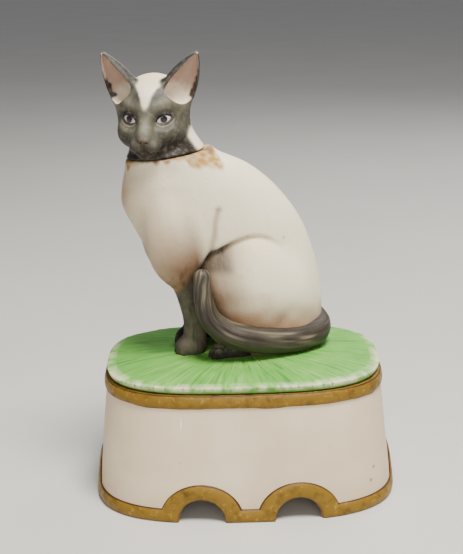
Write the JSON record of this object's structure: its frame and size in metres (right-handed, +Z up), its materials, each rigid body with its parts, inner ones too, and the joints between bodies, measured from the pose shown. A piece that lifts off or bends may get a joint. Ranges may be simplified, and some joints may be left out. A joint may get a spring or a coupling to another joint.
{
  "type": "cat figurine decanter",
  "caption": "Seated porcelain cat on a padded cushion and a flared stool with arched feet. Body and stool are one hollow vessel, and the head lifts off as its stopper.",
  "frame": {"origin": "centre of the stool's foot, on the surface that it stands on", "axes": "+Z up; the stool's long side along X; the cat's body faces -X and its left side is towards -Y, where the face also looks"},
  "size_m": [0.1646, 0.1212, 0.2398],
  "materials": {
    "white_bisque": "unglazed cream-white bisque porcelain with airbrushed tan shading",
    "stool_bisque": "unglazed warm off-white bisque porcelain",
    "seal_bisque": "bisque porcelain painted charcoal with dry-brushed brown highlights",
    "mask_bisque": "bisque porcelain airbrushed as a grey-brown mask over cream",
    "green_bisque": "bisque porcelain with brushed green colour, paler on its rim",
    "gilt": "matte antique gold paint with a thin dark line along its edge",
    "cork": "natural agglomerated cork"
  },
  "bodies": {
    "bottle": {"stool_skirt": "stool_bisque", "foot_band": "gilt", "top_band": "gilt", "reservoir_floor": "stool_bisque", "cushion": "green_bisque", "torso": "white_bisque", "pouring_collar": "white_bisque", "left_foreleg": "seal_bisque", "right_foreleg": "seal_bisque", "left_hind_paw": "seal_bisque", "right_hind_paw": "seal_bisque", "tail": "seal_bisque"},
    "stopper": {"head": "mask_bisque", "left_ear": "mask_bisque", "right_ear": "mask_bisque", "stopper_cork": "cork"}
  },
  "joints": [
    {"name": "head_lift", "type": "slide", "parent": "bottle", "child": "stopper", "axis": [-0.1115, 0, 0.9938], "range_m": [0, 0.045]}
  ]
}
